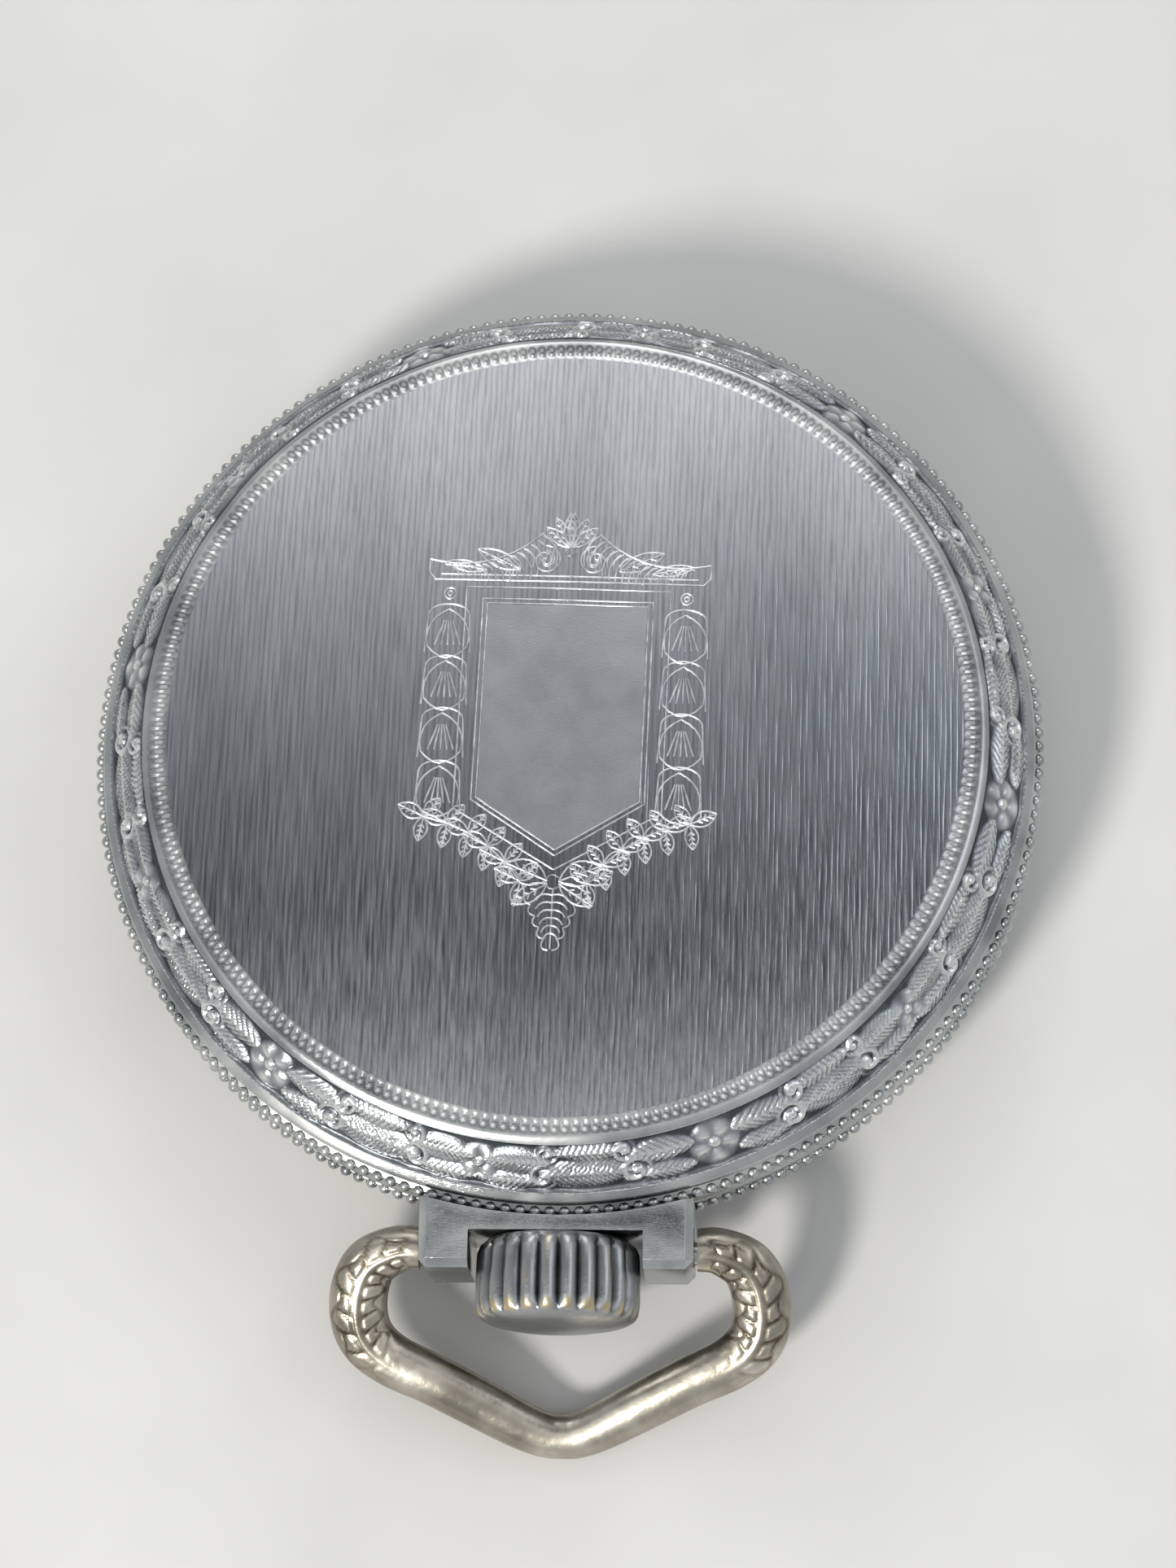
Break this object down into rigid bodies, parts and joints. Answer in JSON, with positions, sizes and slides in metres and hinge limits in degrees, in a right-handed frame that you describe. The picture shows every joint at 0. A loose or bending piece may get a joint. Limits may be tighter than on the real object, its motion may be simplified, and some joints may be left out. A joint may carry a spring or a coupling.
{
  "type": "fob watch",
  "caption": "Open-face fob watch in a round beaded case with a screw-on domed back, fluted crown, stirrup bow, and a wound lever movement with hands inside.",
  "frame": {"origin": "centre of the flat outer face of the crystal, which the watch rests on", "axes": "+Z out through the back cover, -Y out through the pendant and crown, +X to the right of the pendant when the back is seen with the pendant down"},
  "size_m": [0.0502, 0.0617, 0.0125],
  "materials": {
    "case_nickel": "polished white metal, lightly worn",
    "bow_nickel": "worn nickel plating, warm base metal showing",
    "crown_nickel": "worn nickel plating",
    "crystal_glass": "clear mineral glass",
    "dial_enamel": "white fired enamel",
    "blued_steel": "heat-blued polished steel",
    "plate_nickel": "nickelled brass, fine frosted",
    "gilt_brass": "gilt brass",
    "polished_steel": "polished steel",
    "jewel_ruby": "polished synthetic ruby"
  },
  "bodies": {
    "case": {"case_band": "case_nickel", "pendant": "case_nickel", "pendant_sleeve": "polished_steel", "case_screw_left": "blued_steel", "case_screw_right": "blued_steel", "dial": "dial_enamel", "main_plate": "plate_nickel", "barrel_bridge": "plate_nickel", "train_bridge": "plate_nickel", "balance_cock": "plate_nickel", "pallet_cock": "plate_nickel", "barrel_bridge_screw_left": "blued_steel", "barrel_bridge_screw_right": "blued_steel", "barrel_bridge_screw_front": "blued_steel", "train_bridge_screw_left": "blued_steel", "train_bridge_screw_right": "blued_steel", "balance_cock_screw": "blued_steel", "pallet_cock_screw": "blued_steel", "crown_wheel_screw": "blued_steel", "click_screw": "blued_steel", "click_spring": "blued_steel", "hairspring_stud": "polished_steel", "third_jewel": "jewel_ruby", "fourth_jewel": "jewel_ruby", "escape_jewel": "jewel_ruby", "balance_cap_jewel": "jewel_ruby"},
    "bezel_and_crystal": {"bezel": "case_nickel", "crystal": "crystal_glass"},
    "back_cover": {"back_cover": "case_nickel"},
    "bow": {"bow": "bow_nickel"},
    "winding_pinion": {"winding_pinion": "polished_steel"},
    "crown_and_stem": {"crown": "crown_nickel", "winding_stem": "polished_steel"},
    "clutch": {"clutch_wheel": "polished_steel"},
    "setting_lever": {"setting_lever": "polished_steel"},
    "clutch_lever": {"clutch_lever": "polished_steel"},
    "crown_wheel": {"crown_wheel": "polished_steel"},
    "ratchet": {"ratchet_wheel": "polished_steel", "ratchet_screw": "blued_steel", "barrel_arbor": "polished_steel"},
    "click": {"click": "polished_steel"},
    "barrel": {"barrel": "gilt_brass", "barrel_cover": "gilt_brass", "mainspring": "blued_steel"},
    "centre_wheel": {"centre_wheel": "gilt_brass", "cannon_pinion": "polished_steel", "minute_hand": "blued_steel"},
    "third_wheel": {"third_wheel": "gilt_brass"},
    "fourth_wheel": {"fourth_wheel": "gilt_brass", "seconds_hand": "blued_steel"},
    "escape_wheel": {"escape_wheel": "polished_steel"},
    "pallet_fork": {"pallet_fork": "polished_steel"},
    "balance": {"balance_wheel": "gilt_brass", "balance_staff": "polished_steel", "hairspring": "blued_steel"},
    "regulator": {"regulator": "polished_steel"},
    "minute_wheel": {"minute_wheel": "gilt_brass"},
    "hour_wheel": {"hour_wheel": "gilt_brass", "hour_hand": "blued_steel"},
    "setting_wheel": {"setting_wheel": "polished_steel"}
  },
  "joints": [
    {"name": "bow_swing", "type": "hinge", "parent": "case", "child": "bow", "pos_m": [0, -0.02681, 0.0064], "axis": [-1, 0, 0], "range_deg": [-83.7, 146.3]},
    {"name": "back_cover_lift", "type": "slide", "parent": "case", "child": "back_cover", "axis": [0, 0, 1], "range_m": [0, 0.022]},
    {"name": "bezel_lift", "type": "slide", "parent": "case", "child": "bezel_and_crystal", "axis": [0, 0, -1], "range_m": [0, 0.018]},
    {"name": "winding_turn", "type": "hinge", "parent": "case", "child": "winding_pinion", "pos_m": [0, -0.018, 0.0064], "axis": [0, 1, 0], "continuous": true},
    {"name": "crown_pull", "type": "slide", "parent": "winding_pinion", "child": "crown_and_stem", "axis": [0, -1, 0], "range_m": [0, 0.0005]},
    {"name": "clutch_shift", "type": "slide", "parent": "crown_and_stem", "child": "clutch", "axis": [0, -1, 0], "range_m": [-0.00092, 0.00002]},
    {"name": "setting_lever_swing", "type": "hinge", "parent": "case", "child": "setting_lever", "pos_m": [0.0042, -0.01855, 0.006], "axis": [0, 0, 1], "range_deg": [-0.1, 6.92]},
    {"name": "clutch_lever_swing", "type": "hinge", "parent": "case", "child": "clutch_lever", "pos_m": [0.0044, -0.0156, 0.006], "axis": [0, 0, 1], "range_deg": [-5.31, 0.1]},
    {"name": "crown_wheel_turn", "type": "hinge", "parent": "case", "child": "crown_wheel", "pos_m": [0, -0.013, 0.009], "axis": [0, 0, 1], "continuous": true},
    {"name": "ratchet_turn", "type": "hinge", "parent": "case", "child": "ratchet", "pos_m": [-0.0083, -0.00572, 0.009], "axis": [0, 0, 1], "continuous": true},
    {"name": "click_swing", "type": "hinge", "parent": "case", "child": "click", "pos_m": [-0.01621, -0.00844, 0.009], "axis": [0, 0, 1], "range_deg": [0, 4]},
    {"name": "seconds_turn", "type": "hinge", "parent": "case", "child": "fourth_wheel", "pos_m": [0, 0.0095, 0.006], "axis": [0, 0, 1], "continuous": true},
    {"name": "centre_turn", "type": "hinge", "parent": "case", "child": "centre_wheel", "pos_m": [0, 0, 0.006], "axis": [0, 0, 1], "continuous": true},
    {"name": "third_turn", "type": "hinge", "parent": "case", "child": "third_wheel", "pos_m": [-0.00646, 0.00573, 0.006], "axis": [0, 0, 1], "continuous": true},
    {"name": "escape_turn", "type": "hinge", "parent": "case", "child": "escape_wheel", "pos_m": [0.0063, 0.00578, 0.006], "axis": [0, 0, 1], "continuous": true},
    {"name": "barrel_turn", "type": "hinge", "parent": "case", "child": "barrel", "pos_m": [-0.0083, -0.00572, 0.006], "axis": [0, 0, 1], "continuous": true},
    {"name": "minute_wheel_turn", "type": "hinge", "parent": "case", "child": "minute_wheel", "pos_m": [0, -0.00384, 0.004], "axis": [0, 0, 1], "continuous": true},
    {"name": "hour_turn", "type": "hinge", "parent": "case", "child": "hour_wheel", "pos_m": [0, 0, 0.0035], "axis": [0, 0, 1], "continuous": true},
    {"name": "setting_wheel_turn", "type": "hinge", "parent": "case", "child": "setting_wheel", "pos_m": [0, -0.00992, 0.004], "axis": [0, 0, 1], "continuous": true},
    {"name": "fork_rock", "type": "hinge", "parent": "case", "child": "pallet_fork", "pos_m": [0.00878, 0.00251, 0.006], "axis": [0, 0, 1], "range_deg": [-5, 5]},
    {"name": "balance_swing", "type": "hinge", "parent": "case", "child": "balance", "pos_m": [0.0119, -0.0016, 0.006], "axis": [0, 0, 1], "range_deg": [-270, 270], "stiffness_Nm_per_rad": 0.0000021},
    {"name": "regulator_turn", "type": "hinge", "parent": "case", "child": "regulator", "pos_m": [0.0119, -0.0016, 0.01], "axis": [0, 0, 1], "range_deg": [-12, 12]}
  ],
  "couplings": [
    {"joint": "clutch_shift", "follows": "crown_pull", "ratio": -1.8},
    {"joint": "setting_lever_swing", "follows": "crown_pull", "rad_per_m": 238.09},
    {"joint": "clutch_lever_swing", "follows": "crown_pull", "rad_per_m": -181.82},
    {"joint": "crown_wheel_turn", "follows": "winding_turn", "ratio": 0.58333},
    {"joint": "ratchet_turn", "follows": "winding_turn", "ratio": -0.38889},
    {"joint": "centre_turn", "follows": "seconds_turn", "ratio": 0.016667},
    {"joint": "third_turn", "follows": "seconds_turn", "ratio": -0.13333},
    {"joint": "escape_turn", "follows": "seconds_turn", "ratio": -10},
    {"joint": "barrel_turn", "follows": "seconds_turn", "ratio": -0.0027778},
    {"joint": "minute_wheel_turn", "follows": "seconds_turn", "ratio": -0.0055556},
    {"joint": "hour_turn", "follows": "seconds_turn", "ratio": 0.0013889},
    {"joint": "setting_wheel_turn", "follows": "seconds_turn", "ratio": 0.005}
  ]
}
